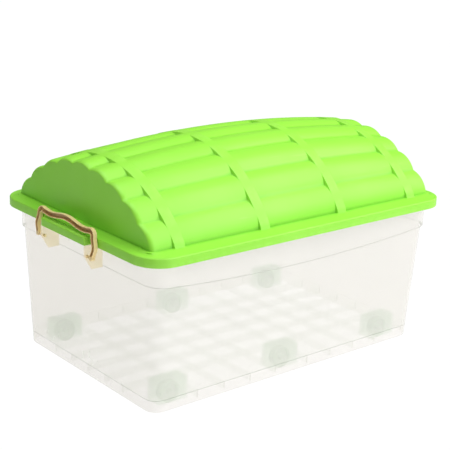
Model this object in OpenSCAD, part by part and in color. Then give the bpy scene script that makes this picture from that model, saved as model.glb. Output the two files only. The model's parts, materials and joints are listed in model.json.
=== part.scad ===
// Wheeled storage trunk: a clear tapered tub, a fluted domed lid and two bail handles.
// The long side lies along X, the ground is z = 0 and the origin is under the middle of the tub.

/* [Lid] */
// Length of the lid's rim
rim_l = 700; // [600:5:850]
// Width of the lid's rim
rim_w = 472; // [400:4:580]
// Plan radius of the rim's corners
rim_r = 52; // [40:1:70]
// Height of the rim's skirt, to the shoulder
skirt_h = 14; // [12:0.5:20]
// Rise of the ledge from the rim's shoulder to the foot of the dome
ledge_rise = 4; // [2:0.5:8]
// Wall of the lid
lid_wall = 2.5; // [2:0.1:4]
// Ledge in front of the dome's flat ends
ledge_end = 24; // [18:1:40]
// Ledge beside the dome's long sides
ledge_side = 31; // [20:1:50]
// Rise of the valleys' arch at the middle of the lid
arch_h = 120; // [80:2:160]
// How much lower the arch is at the two ends
crown_drop = 23; // [0:1:40]
// Flutes side by side over the arch
flutes = 9; // [5:2:13]
// How far a flute stands above the valleys' arch
flute_h = 6; // [3:0.5:9]
// Width of a smooth band across the flutes
band_w = 20; // [10:1:32]
// Middle of the inner bands, from the lid's middle
band_inner_x = 91; // [60:1:110]
// Middle of the outer bands, from the lid's middle
band_outer_x = 273; // [225:1:280]
// Rounding along the dome's scalloped ends
dome_round = 9; // [4:1:14]
// Depth of the locating lip that drops into the tub
lip_h = 12; // [6:1:20]
// How far the tab under each handle's grip stands out of the rim
tab_out = 13; // [10:0.5:18]
// Length of the tab, along the rim's end
tab_l = 134; // [120:2:150]

/* [Tub] */
// Height of the tub from its foot edge to the top of its flange
tub_h = 282.7; // [220:0.1:340]
// Wall of the tub
wall = 2.5; // [2:0.1:4]
// How much narrower the foot is than the wall's top, on each side
taper = 15; // [5:0.5:25]
// Distance from the lid's rim in to the collar
collar_in = 22; // [18:0.5:30]
// Plan radius of the collar's corners
collar_r = 30; // [22:1:40]
// Height of the collar from its lower edge at the ends to the flange's top
collar_h = 54; // [40:1:80]
// Sag of the collar's lower edge along the long sides
collar_sag = 16; // [0:1:30]
// Height of the floor above the foot edge
floor_h = 22.5; // [18:0.5:32]
// Depth of the stiffening ribs under the floor
rib_h = 14; // [6:1:18]
// Ribs across the floor, in each half
ribs_across = 4; // [2:1:6]
// Ribs along the floor, on each side of the middle one
ribs_along = 2; // [1:1:3]

/* [Handles] */
// Distance between the middles of a handle's two arms
arm_span = 167; // [155:1:190]
// Width of the channel section, seen from the end
grip_w = 10; // [8:0.5:12]
// Depth of the channel section
grip_t = 8; // [6:0.5:9]
// Flange of the channel section
grip_lip = 1.5; // [1.4:0.1:2]
// Share of the channel's width that is left at the pivots
arm_tip = 0.64; // [0.6:0.02:1]
// Height of the grip's middle line over the pivots
grip_rise = 46; // [40:0.5:56]
// Half the height of the wave along the grip
grip_wave = 3; // [0:0.5:4]
// How far the arms bow out between pivot and grip
arm_bow = 5; // [0:0.5:7]
// Lean of the handle towards the lid
handle_lean = 5; // [0:0.5:6]
// Radius of the pivot stubs
stub_r = 2.8; // [2.2:0.1:3.5]
// Thickness of the tub's lugs
lug_t = 3.5; // [2.5:0.1:5]
// Pivot's distance outside the lid's rim
pivot_out = 7.5; // [7:0.1:10]
// Pivot's distance below the flange's top
pivot_down = 32.5; // [30:0.5:40]

/* [Wheels] */
// Radius of a wheel
wheel_r = 20; // [16:0.5:24]
// Width of a wheel's tread
wheel_w = 16; // [12:0.5:20]
// Radius of an axle
axle_r = 2.5; // [2:0.1:3.5]
// How far the wheels stand below the tub's foot edge
wheel_drop = 3; // [2:0.5:6]
// Distance from the middle to the end wheels
wheel_x = 256; // [200:1:262]
// Distance from the foot's side edge in to the wheels' middle
wheel_in = 35; // [32:1:60]
// Inside length of a wheel well
well_l = 61; // [58:1:70]
// Inside width of a wheel well
well_w = 33; // [31:0.5:40]

/* [Clearances] */
// Gap between pieces that move past or rest on each other
gap = 0.3; // [0.2:0.05:0.5]
// Radial running clearance of a shaft in its bore
run = 0.05; // [0.02:0.01:0.1]
// Side gap of a snap-in piece in its seat
seat_gap = 0.5; // [0.3:0.1:0.8]

/* [Hidden] */

clear_pp = [0.93, 0.94, 0.92, 0.45];
lime = [0.55, 0.9, 0.25];
cream = [0.93, 0.82, 0.58];
steel = [0.72, 0.73, 0.75];
e = 0.01;

// Levels
foot_z = wheel_drop;
tub_top = foot_z + tub_h;
floor_z = foot_z + floor_h;
ledge_z = tub_top + gap;
shoulder_z = ledge_z + lid_wall;
skirt_z = shoulder_z - skirt_h - lid_wall;
dome_z = shoulder_z + ledge_rise;
collar_z = tub_top - collar_h;

// Round-over of the rim's shoulder
shoulder = 2.5;

// Plan sizes; the wall's top is "collar_proud" inside the collar
collar_proud = 0.5;
collar_l = rim_l - 2 * collar_in;
collar_w = rim_w - 2 * collar_in;
top_l = collar_l - 2 * collar_proud;
top_w = collar_w - 2 * collar_proud;
foot_l = top_l - 2 * taper;
foot_w = top_w - 2 * taper;
foot_r = collar_r - taper / 2;
dome_l = rim_l - 2 * ledge_end;
dome_w = rim_w - 2 * ledge_side;

// Share of the taper at a height, from 0 at the foot to 1 at the flange's top
function share(z) = (z - foot_z) / tub_h;
function wall_l(z) = foot_l + (top_l - foot_l) * share(z);
function wall_w(z) = foot_w + (top_w - foot_w) * share(z);
function wall_r(z) = foot_r + (collar_r - foot_r) * share(z);

// Rectangle with true round corners
module plate(l, w, r) {
    square([l - 2 * r, w], center = true);
    square([l, w - 2 * r], center = true);
    for (sx = [-1, 1])
        for (sy = [-1, 1])
            translate([sx * (l / 2 - r), sy * (w / 2 - r)]) circle(r = r, $fn = 48);
}

module slab(l, w, r, z, h) {
    translate([0, 0, z]) linear_extrude(h) plate(l, w, r);
}

// The same, as one hull, for the shells of the lid, which hold no bore
module soft_slab(l, w, r, z, h) {
    translate([0, 0, z]) linear_extrude(h)
        hull()
            for (sx = [-1, 1])
                for (sy = [-1, 1])
                    translate([sx * (l / 2 - r), sy * (w / 2 - r)]) circle(r = r, $fn = 48);
}

// ---- Tub ----

// Solid that tapers with the wall, "inset" inside its outer face
module tapered(inset, z0, z1) {
    hull()
        for (z = [z0, z1])
            translate([0, 0, z]) linear_extrude(e)
                plate(wall_l(z) - 2 * inset, wall_w(z) - 2 * inset, wall_r(z) - inset, $fn = 32);
}

// Thicker upper band of the wall, whose lower edge sags along the long sides
module collar() {
    half = collar_l / 2;
    arc_r = (half * half + collar_sag * collar_sag) / (2 * max(collar_sag, 1));
    intersection() {
        slab(collar_l, collar_w, collar_r, collar_z - collar_sag, collar_h + collar_sag - e);
        translate([0, 0, collar_z - collar_sag + arc_r]) rotate([90, 0, 0])
            cylinder(r = arc_r, h = collar_w + 20, center = true, $fn = 720);
    }
}

flange_in = lid_wall + shoulder + gap;
flange_l = rim_l - 2 * flange_in;
flange_w = rim_w - 2 * flange_in;
flange_r = rim_r - flange_in;
flange_t = 3;
flange_drop = 9;

module flange() {
    slab(flange_l, flange_w, flange_r, tub_top - flange_t, flange_t);
    difference() {
        slab(flange_l, flange_w, flange_r, tub_top - flange_drop, flange_drop - e);
        slab(flange_l - 2 * wall, flange_w - 2 * wall, flange_r - wall, tub_top - flange_drop - 1,
            flange_drop + 2);
    }
}

pivot_x = rim_l / 2 + pivot_out;
pivot_z = tub_top - pivot_down;
lug_y = tab_l / 2 + 1;
lug_margin = 2.6;
lug_edge = stub_r + lug_margin;
lug_drop = 24;
lug_toe = 9;
lug_root = 1.5;
shelf_play = 0.1;

// Gusset that carries one pivot, drawn on the +X end
module lug(side) {
    inner = collar_l / 2 - lug_root;
    under = flange_l / 2 - wall / 2;
    shelf = skirt_z - gap - shelf_play;
    translate([0, side * lug_y + lug_t / 2, 0]) rotate([90, 0, 0]) linear_extrude(lug_t) polygon([
        [inner, pivot_z - lug_drop], [pivot_x - lug_toe, pivot_z - lug_drop],
        [pivot_x + lug_edge, pivot_z], [pivot_x + lug_edge, shelf],
        [under, shelf], [under, tub_top - flange_t / 2], [inner, tub_top - flange_t / 2]]);
}

well_wall = 2.5;
wheel_room = 6;
well_top = 2 * wheel_r + wheel_room;
well_lift = 2;
well_foot = foot_z + well_lift;
well_y = foot_w / 2 - wheel_in;

module well_shell() {
    slab(well_l + 2 * well_wall, well_w + 2 * well_wall, 5, well_foot, well_top - well_foot + well_wall);
}

module well_hollow() {
    slab(well_l, well_w, 3, -1, well_top + 1);
}

module at_wells() {
    for (ix = [-1, 0, 1])
        for (sy = [-1, 1])
            translate([ix * wheel_x, sy * well_y, 0]) children();
}

rib_t = 2;
rib_clear = 6;
last_bay = 0.75;
rib_bay = well_l / 2 + well_wall + rib_clear;
rib_pitch = (well_y - well_w / 2) / (ribs_along + last_bay);

module ribs() {
    z = floor_z - wall - rib_h;
    reach = wheel_x - 2 * rib_bay;
    for (s = [-1, 1])
        for (i = [0 : ribs_across - 1])
            translate([s * (rib_bay + reach * i / (ribs_across - 1)) - rib_t / 2, -wall_w(z) / 2 + 1, z])
                cube([rib_t, wall_w(z) - 2, rib_h + 1]);
    for (i = [-ribs_along : ribs_along])
        translate([-wall_l(z) / 2 + 1, i * rib_pitch - rib_t / 2, z])
            cube([wall_l(z) - 2, rib_t, rib_h + 1]);
}

module tub() color(clear_pp) {
    difference() {
        union() {
            tapered(0, foot_z, tub_top - e);
            collar();
            flange();
            for (turn = [0, 180])
                rotate([0, 0, turn])
                    for (side = [-1, 1]) lug(side);
        }
        tapered(wall, foot_z - 1, tub_top + 1);
        for (turn = [0, 180])
            rotate([0, 0, turn])
                translate([pivot_x, 0, pivot_z]) rotate([90, 0, 0])
                    cylinder(r = stub_r + run, h = 2 * lug_y + 20, center = true, $fn = 48);
    }
    difference() {
        union() {
            slab(wall_l(floor_z) - wall, wall_w(floor_z) - wall, wall_r(floor_z) - wall / 2,
                floor_z - wall, wall);
            ribs();
            at_wells() well_shell();
        }
        at_wells() well_hollow();
    }
}

// ---- Lid ----

flute_facets = 4;
band_ramp = 3;
round_steps = 3;

// Radius and half-angle of the valleys' arch at x, for a surface "inset" inside the outer one
function rise_at(x, inset) = arch_h - crown_drop * pow(x / (dome_l / 2), 2) - inset;
function arch_r(x, inset) =
    let (c = dome_w / 2 - inset, s = rise_at(x, inset)) (c * c + s * s) / (2 * s);

// Height above the valleys at one place of the section, which is 1 on a band and 0 on the flutes
function flute_bump(t, band) =
    let (u = (t + 1) / 2 * flutes, v = 2 * (u - floor(u)) - 1)
    flute_h * max(band, 1 - v * v);

// One section of the dome: points over the arch, closed by two points under the foot
function section(x, band, shrink, inset, depth) =
    let (c = dome_w / 2 - inset, s = rise_at(x, inset), r = arch_r(x, inset),
        half = asin(c / r), n = flutes * flute_facets, k = (r - shrink) / r)
    concat(
        [[x, -k * (c + flute_bump(-1, band)), -depth]],
        [for (i = [0 : n])
            let (t = 2 * i / n - 1, a = half * t, q = r + flute_bump(t, band))
            [x, k * q * sin(a), i == 0 || i == n ? 0 : k * max(q * cos(a) - (r - s), 0)]],
        [[x, k * (c + flute_bump(1, band)), -depth]]);

// Stations along one half, from the middle out: [x, band, shrink]
function half_stations(inset) =
    let (end = dome_l / 2 - inset, b0 = band_inner_x, b1 = band_outer_x, h = band_w / 2, g = band_ramp)
    concat(
        [[b0 / 2, 0, 0]],
        [[b0 - h - g, 0, 0], [b0 - h, 1, 0], [b0 + h, 1, 0], [b0 + h + g, 0, 0]],
        [[(b0 + b1) / 2, 0, 0]],
        [[b1 - h - g, 0, 0], [b1 - h, 1, 0], [b1 + h, 1, 0], [b1 + h + g, 0, 0]],
        [for (i = [0 : round_steps])
            let (a = 90 * i / round_steps)
            [end - dome_round * (1 - sin(a)), 0, dome_round * (1 - cos(a))]]);

function stations(inset) =
    let (h = half_stations(inset), n = len(h))
    concat([for (i = [n - 1 : -1 : 0]) [-h[i][0], h[i][1], h[i][2]]], h);

// Closed solid of the dome, standing on the ledge and reaching "depth" below it
module dome(inset, depth) {
    st = stations(inset);
    rings = [for (p = st) section(p[0], p[1], p[2], inset, depth)];
    m = len(rings[0]);
    n = len(rings);
    pts = [for (ring = rings) for (p = ring) p];
    faces = concat(
        [[for (j = [m - 1 : -1 : 0]) j]],
        [for (i = [0 : n - 2]) for (j = [0 : m - 1])
            let (a = i * m + j, b = i * m + (j + 1) % m)
            [a, b, b + m, a + m]],
        [[for (j = [0 : m - 1]) (n - 1) * m + j]]);
    translate([0, 0, dome_z]) polyhedron(points = pts, faces = faces, convexity = 6);
}

foot_margin = 4;
foot_sink = 0.4;

// Rim block with its shoulder and the slope up to the dome's foot
module rim_solid(inset, z0) {
    hull() {
        soft_slab(rim_l - 2 * inset, rim_w - 2 * inset, rim_r - inset, z0, shoulder_z - shoulder - inset - z0);
        soft_slab(rim_l - 2 * inset - 2 * shoulder, rim_w - 2 * inset - 2 * shoulder, rim_r - inset - shoulder,
            shoulder_z - inset - e, e);
        soft_slab(dome_l + 2 * foot_margin - 2 * inset, dome_w + 2 * foot_margin - 2 * inset, 12,
            dome_z - foot_sink - inset - e, e);
    }
}

tab_drop = 2;
tab_root = 6;
tab_round = 3;

// Tab under a handle's grip, drawn on the +X end
module tab(inset) {
    z0 = skirt_z - (inset > 0 ? 1 : 0);
    top = shoulder_z - tab_drop - inset;
    out = rim_l / 2 + tab_out - inset;
    half = tab_l / 2 - inset;
    r = tab_round;
    root = rim_l / 2 - tab_root;
    translate([0, half, 0]) rotate([90, 0, 0]) linear_extrude(2 * half) polygon(concat(
        [[root, z0], [out, z0]],
        [for (a = [0 : 15 : 90]) [out - r + r * cos(a), top - r + r * sin(a)]],
        [[root, top]]));
}

lip_gap = 1;

module lip() {
    l = wall_l(tub_top) - 2 * wall - 2 * lip_gap;
    w = wall_w(tub_top) - 2 * wall - 2 * lip_gap;
    r = wall_r(tub_top) - wall - lip_gap;
    z = ledge_z - lip_h;
    h = dome_z - lid_wall / 2 - z;
    difference() {
        soft_slab(l, w, r, z, h);
        soft_slab(l - 2 * lid_wall, w - 2 * lid_wall, r - lid_wall, z - 1, h + 2);
    }
}

module lid() color(lime) {
    difference() {
        union() {
            rim_solid(0, skirt_z);
            dome(0, 1);
            for (turn = [0, 180]) rotate([0, 0, turn]) tab(0);
        }
        rim_solid(lid_wall, skirt_z - 1);
        dome(lid_wall, ledge_rise);
        for (turn = [0, 180]) rotate([0, 0, turn]) tab(lid_wall);
    }
    lip();
}

// ---- Handles ----

corner_r = 9;
boss_margin = 0.6;
boss_r = grip_w / 2 * arm_tip + boss_margin;
stub_reach = 3;
arm_half = arm_span / 2;
grip_end = arm_half - corner_r;
wave_len = 100;

// Middle line of one half of the bail, from the pivot to the middle of the grip, as [y, z]
function grip_line(y) = grip_rise + grip_wave * cos(360 * y / wave_len);
function half_line() =
    let (zt = grip_line(grip_end) - corner_r)
    concat(
        [for (i = [0 : 8]) [arm_half + arm_bow * pow(sin(180 * i / 8), 2), zt * i / 8]],
        [for (a = [15 : 15 : 90]) [grip_end + corner_r * cos(a), zt + corner_r * sin(a)]],
        [for (i = [1 : 12]) let (y = grip_end * (1 - i / 12)) [y, grip_line(y)]]);
function full_line() =
    let (h = half_line(), n = len(h))
    concat(h, [for (i = [n - 2 : -1 : 0]) [-h[i][0], h[i][1]]]);

// Half the channel's width at a point of the middle line; the arms narrow towards the pivots
function half_width(p) = grip_w / 2 * (arm_tip + (1 - arm_tip) * min(p[1] / grip_line(grip_end), 1));

// Outline around the middle line, "inset" inside the channel's sides
function normal(p, i) =
    let (n = len(p), d = p[min(i + 1, n - 1)] - p[max(i - 1, 0)])
    [-d[1], d[0]] / norm(d);
function stroke(p, inset) = concat(
    [for (i = [0 : len(p) - 1]) p[i] + (half_width(p[i]) - inset) * normal(p, i)],
    [for (i = [len(p) - 1 : -1 : 0]) p[i] - (half_width(p[i]) - inset) * normal(p, i)]);

// Handle on the +X end, with its open channel facing out
module bail() color(cream) {
    line = full_line();
    stub_l = arm_half - lug_y + lug_t / 2 + stub_reach;
    translate([pivot_x, 0, pivot_z]) rotate([0, -handle_lean, 0]) {
        difference() {
            union() {
                translate([-grip_t / 2, 0, 0]) rotate([90, 0, 90]) linear_extrude(grip_t)
                    polygon(stroke(line, 0));
                for (s = [-1, 1])
                    translate([-grip_t / 2, s * arm_half, 0]) rotate([0, 90, 0])
                        cylinder(r = boss_r, h = grip_t, $fn = 48);
            }
            translate([grip_t / 2 - (grip_t - grip_lip), 0, 0]) rotate([90, 0, 90]) linear_extrude(grip_t)
                polygon(stroke([for (p = line) if (p[1] > boss_r + 1) p], grip_lip));
        }
        for (s = [-1, 1])
            translate([0, s * (arm_half - stub_l / 2), 0]) rotate([90, 0, 0])
                cylinder(r = stub_r, h = stub_l, center = true, $fn = 48);
    }
}

module left_handle() rotate([0, 0, 180]) bail();
module right_handle() bail();

// ---- Wheels ----

housing_wall = 3;
housing_roof = 1.5;
housing_l = well_l - 2 * seat_gap;
housing_w = well_w - 2 * seat_gap;
housing_lift = 3;
housing_foot = foot_z + housing_lift;
hub_play = 1;
hub_w = housing_w - 2 * housing_wall - 2 * hub_play;
axle_inset = 0.25;
axle_l = housing_w - 2 * axle_inset;

// Snap-in housing, open below, with a hole in each cheek for the axle
module housing() color(lime) {
    difference() {
        slab(housing_l, housing_w, 2.5, housing_foot, well_top - housing_foot);
        slab(housing_l - 2 * housing_wall, housing_w - 2 * housing_wall, 1, housing_foot - 1,
            well_top - housing_foot + 1 - housing_roof);
        translate([0, 0, wheel_r]) rotate([90, 0, 0])
            cylinder(r = axle_r, h = housing_w + 2, center = true, $fn = 48);
    }
}

module axle() color(steel) {
    translate([0, 0, wheel_r]) rotate([90, 0, 0])
        cylinder(r = axle_r, h = axle_l, center = true, $fn = 48);
}

// Wheel with a rounded tread, a recessed web and a hub
module wheel() color(lime) {
    bore = axle_r + run;
    hub_wall = 3.5;
    tread_t = 5;
    hub_r = axle_r + hub_wall;
    rim_in = wheel_r - tread_t;
    web_t = 4;
    edge = 1.5;
    translate([0, 0, wheel_r]) rotate([90, 0, 0]) rotate_extrude($fn = 72) polygon([
        [bore, -hub_w / 2], [hub_r, -hub_w / 2], [hub_r, -web_t / 2], [rim_in, -web_t / 2],
        [rim_in, -wheel_w / 2], [wheel_r - edge, -wheel_w / 2], [wheel_r, -wheel_w / 2 + edge],
        [wheel_r, wheel_w / 2 - edge], [wheel_r - edge, wheel_w / 2], [rim_in, wheel_w / 2],
        [rim_in, web_t / 2], [hub_r, web_t / 2], [hub_r, hub_w / 2], [bore, hub_w / 2]]);
}

// Place of one wheel: column -1, 0 or 1 along X, row -1 in front and 1 behind
module at_wheel(column, row) {
    translate([column * wheel_x, row * well_y, 0]) children();
}

tub();
lid();
left_handle();
right_handle();
at_wheel(-1, -1) housing();  // front_left_housing
at_wheel(0, -1) housing();  // front_middle_housing
at_wheel(1, -1) housing();  // front_right_housing
at_wheel(-1, 1) housing();  // rear_left_housing
at_wheel(0, 1) housing();  // rear_middle_housing
at_wheel(1, 1) housing();  // rear_right_housing
at_wheel(-1, -1) axle();  // front_left_axle
at_wheel(0, -1) axle();  // front_middle_axle
at_wheel(1, -1) axle();  // front_right_axle
at_wheel(-1, 1) axle();  // rear_left_axle
at_wheel(0, 1) axle();  // rear_middle_axle
at_wheel(1, 1) axle();  // rear_right_axle
at_wheel(-1, -1) wheel();  // front_left_wheel
at_wheel(0, -1) wheel();  // front_middle_wheel
at_wheel(1, -1) wheel();  // front_right_wheel
at_wheel(-1, 1) wheel();  // rear_left_wheel
at_wheel(0, 1) wheel();  // rear_middle_wheel
at_wheel(1, 1) wheel();  // rear_right_wheel
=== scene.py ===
"""Looks of a clear storage trunk on wheels, with a fluted domed lid and a bail handle at each end.

Lengths are metres in the trunk's own frame: the long side lies along X, the ground is z = 0 and the
origin is under the middle of the tub.
"""

import json
import logging
import math
from collections.abc import Callable, Sequence
from dataclasses import dataclass, replace
from enum import Enum
from itertools import pairwise

import bmesh
import bpy
from mathutils import Matrix, Vector


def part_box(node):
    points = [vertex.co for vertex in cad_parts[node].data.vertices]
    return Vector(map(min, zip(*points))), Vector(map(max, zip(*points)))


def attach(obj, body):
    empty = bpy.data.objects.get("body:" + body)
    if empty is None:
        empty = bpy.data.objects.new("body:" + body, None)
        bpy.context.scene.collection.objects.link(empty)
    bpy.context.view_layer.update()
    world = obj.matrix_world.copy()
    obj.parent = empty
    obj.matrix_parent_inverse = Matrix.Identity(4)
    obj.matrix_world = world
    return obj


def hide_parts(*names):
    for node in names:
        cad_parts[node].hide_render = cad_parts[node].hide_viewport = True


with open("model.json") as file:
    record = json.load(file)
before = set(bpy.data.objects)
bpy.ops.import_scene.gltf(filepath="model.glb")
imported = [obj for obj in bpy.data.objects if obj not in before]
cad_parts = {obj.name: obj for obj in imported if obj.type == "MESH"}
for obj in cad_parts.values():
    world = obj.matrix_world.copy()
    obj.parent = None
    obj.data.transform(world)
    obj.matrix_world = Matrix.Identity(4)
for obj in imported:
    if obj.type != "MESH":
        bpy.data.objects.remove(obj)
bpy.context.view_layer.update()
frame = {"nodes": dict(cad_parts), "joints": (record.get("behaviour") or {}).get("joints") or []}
LOG = logging.getLogger("trunk")

Mesh = bmesh.types.BMesh
Point = bmesh.types.BMVert
Edge = bmesh.types.BMEdge
Face = bmesh.types.BMFace
Socket = bpy.types.NodeSocket
Colour = tuple[float, float, float]
Range = tuple[float, float]
Mark = tuple[int, float, float]
Place = Callable[[Mark], Vector]
Profile = Sequence[tuple[float, float]]
UNIT: Range = (0.0, 1.0)
WELD = 1e-6
# Where the middle point of a two-step rounding lies, as a share of its width.
HALFWAY = 0.3
# Numbers of a piece's first and second finish.
MAIN, SECOND = 0, 1


class Body(Enum):
    """Moving bodies that pieces ride on."""

    TUB = "tub"
    LID = "lid"
    LEFT_HANDLE = "left_handle"
    RIGHT_HANDLE = "right_handle"


class Slot(Enum):
    """Material slots of the record."""

    CLEAR = "clear_plastic"
    LIME = "lime_plastic"
    CREAM = "cream_plastic"
    HOUSING = "housing_plastic"
    STEEL = "axle_steel"
    WHEEL = "wheel_plastic"


class End(Enum):
    """The two ends of the trunk, as the sign of X."""

    LEFT = -1
    RIGHT = 1


# ---- Node wiring ----


def tint(red: int, green: int, blue: int) -> Colour:
    """Turns display values from 0 to 255 into a linear colour.

    Args:
        red: Red value.
        green: Green value.
        blue: Blue value.

    Returns:
        The three linear values.
    """

    def linear(value: int) -> float:
        """Returns one linear value."""
        share = value / 255
        return share / 12.92 if share <= 0.04045 else ((share + 0.055) / 1.055) ** 2.4

    return linear(red), linear(green), linear(blue)


class Wiring:
    """Adds and links nodes in one node tree."""

    def __init__(self, tree: bpy.types.NodeTree) -> None:
        """Keeps the tree.

        Args:
            tree: Tree that the nodes go in.
        """
        self.tree = tree

    def add(self, kind: str, inputs: dict | None = None, **settings: object) -> bpy.types.Node:
        """Adds one node.

        Args:
            kind: Blender's name of the node type.
            inputs: Values or sockets for its inputs, by name or number.
            settings: Settings of the node itself.

        Returns:
            The new node.
        """
        node = self.tree.nodes.new(kind)
        for key, value in settings.items():
            setattr(node, key, value)
        for key, value in (inputs or {}).items():
            if isinstance(value, Socket):
                self.tree.links.new(value, node.inputs[key])
            else:
                node.inputs[key].default_value = value
        return node

    def sum_up(self, operation: str, first: object, second: object) -> Socket:
        """Works out one number from two.

        Args:
            operation: Name of the operation, such as MULTIPLY.
            first: Number or socket.
            second: Number or socket.

        Returns:
            The result's socket.
        """
        return self.add("ShaderNodeMath", {0: first, 1: second}, operation=operation).outputs[0]

    def spread(self, value: object, source: Range, target: Range) -> Socket:
        """Maps a value from one range to another, clamped.

        Args:
            value: Number or socket.
            source: Ends of the first range.
            target: Ends of the new range.

        Returns:
            The result's socket.
        """
        inputs = {"Value": value, "From Min": source[0], "From Max": source[1]}
        inputs.update({"To Min": target[0], "To Max": target[1]})
        return self.add("ShaderNodeMapRange", inputs).outputs[0]

    def blend(self, share: object, first: object, second: object) -> Socket:
        """Mixes two colours.

        Args:
            share: Share of the second colour.
            first: Colour or socket.
            second: Colour or socket.

        Returns:
            The mixed colour's socket.
        """
        inputs = {0: share, 6: first, 7: second}
        full = {key: (*value, 1.0) if isinstance(value, tuple) else value for key, value in inputs.items()}
        return self.add("ShaderNodeMix", full, data_type="RGBA").outputs[2]


# ---- Effects that several finishes share ----


class Effect:
    """A shader node group with number inputs and number outputs, built once."""

    def __init__(self, name: str, inputs: dict[str, float], outputs: Sequence[str]) -> None:
        """Makes the empty group with its sockets.

        Args:
            name: Name of the group.
            inputs: Each input's name and usual value.
            outputs: Names of the outputs.
        """
        self.tree = bpy.data.node_groups.new(name, "ShaderNodeTree")
        for title, value in inputs.items():
            socket = self.tree.interface.new_socket(title, in_out="INPUT", socket_type="NodeSocketFloat")
            socket.default_value = value
        for title in outputs:
            self.tree.interface.new_socket(title, in_out="OUTPUT", socket_type="NodeSocketFloat")
        self.wiring = Wiring(self.tree)
        self.given = self.wiring.add("NodeGroupInput").outputs
        self.result = self.wiring.add("NodeGroupOutput").inputs
        self.place = self.wiring.add("ShaderNodeTexCoord").outputs["Object"]

    def noise(self, scale: object, detail: float, vector: object | None = None) -> Socket:
        """Adds a noise pattern on the piece.

        Args:
            scale: Pattern repeats in a metre, or a socket.
            detail: Octaves.
            vector: Place to read, the piece's own if left out.

        Returns:
            The socket of its value.
        """
        inputs = {"Vector": vector or self.place, "Scale": scale, "Detail": detail}
        return self.wiring.add("ShaderNodeTexNoise", inputs).outputs[0]

    def give(self, title: str, value: Socket) -> None:
        """Links a value to an output."""
        self.tree.links.new(value, self.result[title])

    def use(self, wiring: Wiring, **values: float) -> bpy.types.Node:
        """Places the group in a material.

        Args:
            wiring: The material's wiring.
            values: The group's inputs, by name.

        Returns:
            The group node.
        """
        node = wiring.add("ShaderNodeGroup", node_tree=self.tree)
        for title, value in values.items():
            node.inputs[title].default_value = value
        return node


def make_wear_and_shade_masks() -> Effect:
    """Makes the effect that finds worn outer edges, and the inner corners that get painted shade.

    Returns:
        The effect.
    """
    effect = Effect("edge_wear", {"Amount": 1.0, "Patches": 60.0}, ["Wear", "Corner"])
    wiring = effect.wiring
    sharp = wiring.add("ShaderNodeNewGeometry").outputs["Pointiness"]
    patches = wiring.spread(effect.noise(effect.given["Patches"], 4.0), (0.35, 0.65), (0.25, 1.0))
    outer = wiring.spread(sharp, (0.51, 0.60), UNIT)
    worn = wiring.sum_up("MULTIPLY", outer, patches)
    effect.give("Wear", wiring.sum_up("MULTIPLY", worn, effect.given["Amount"]))
    # Corner: the mask of inner corners, where shade is painted.
    effect.give("Corner", wiring.spread(sharp, (0.49, 0.40), UNIT))
    return effect


def make_mould_grain() -> Effect:
    """Makes the effect of a spark-eroded mould's fine grain.

    Returns:
        The effect.
    """
    effect = Effect("mould_grain", {"Scale": 700.0}, ["Height"])
    fine = effect.noise(effect.given["Scale"], 3.0)
    coarse = effect.noise(effect.wiring.sum_up("MULTIPLY", effect.given["Scale"], 0.3), 2.0)
    effect.give("Height", effect.wiring.sum_up("ADD", fine, effect.wiring.sum_up("MULTIPLY", coarse, 0.6)))
    return effect


def make_flow_clouds() -> Effect:
    """Makes the effect of faint clouds that the melt leaves as it fills the mould.

    Returns:
        The effect.
    """
    effect = Effect("flow_clouds", {"Scale": 7.0, "Stretch": 1.0}, ["Cloud", "Ripple"])
    wiring = effect.wiring
    stretch = wiring.add("ShaderNodeCombineXYZ", {0: 1.0, 1: 1.0, 2: effect.given["Stretch"]}).outputs[0]
    along = {0: effect.place, 1: stretch}
    drawn = wiring.add("ShaderNodeVectorMath", along, operation="MULTIPLY").outputs[0]
    effect.give("Cloud", wiring.spread(effect.noise(effect.given["Scale"], 4.0, drawn), (0.32, 0.68), UNIT))
    wide = wiring.sum_up("MULTIPLY", effect.given["Scale"], 2.2)
    effect.give("Ripple", effect.noise(wide, 1.0, drawn))
    return effect


def make_scuffs() -> Effect:
    """Makes the effect of thin rubbed lines, gathered in patches.

    Returns:
        The effect.
    """
    effect = Effect("scuffs", {"Density": 0.5, "Scale": 260.0}, ["Mask"])
    wiring = effect.wiring
    stretch = {"Vector": effect.place, "Rotation": (0.3, 0.5, 0.7), "Scale": (0.05, 1, 1)}
    lines = effect.noise(effect.given["Scale"], 2.0, wiring.add("ShaderNodeMapping", stretch).outputs[0])
    patches = wiring.spread(effect.noise(9.0, 2.0), (0.5, 0.7), UNIT)
    mask = wiring.sum_up("MULTIPLY", wiring.spread(lines, (0.66, 0.72), UNIT), patches)
    effect.give("Mask", wiring.sum_up("MULTIPLY", mask, effect.given["Density"]))
    return effect


@dataclass(frozen=True)
class Effects:
    """The shared effects, each built once."""

    # wear: rubbed edges, and the inner corners that get painted shade.
    wear: Effect
    grain: Effect
    clouds: Effect
    scuffs: Effect

    @classmethod
    def build(cls) -> "Effects":
        """Returns a fresh set of all effects."""
        return cls(make_wear_and_shade_masks(), make_mould_grain(), make_flow_clouds(), make_scuffs())


# ---- Finishes ----


def start_material(name: str) -> tuple[bpy.types.Material, Wiring, bpy.types.NodeInputs]:
    """Makes a material that has only its shader.

    Args:
        name: Name of the material.

    Returns:
        The material, its wiring and its shader's inputs.
    """
    material = bpy.data.materials.new(name)
    material.use_nodes = True
    return material, Wiring(material.node_tree), material.node_tree.nodes["Principled BSDF"].inputs


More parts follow.
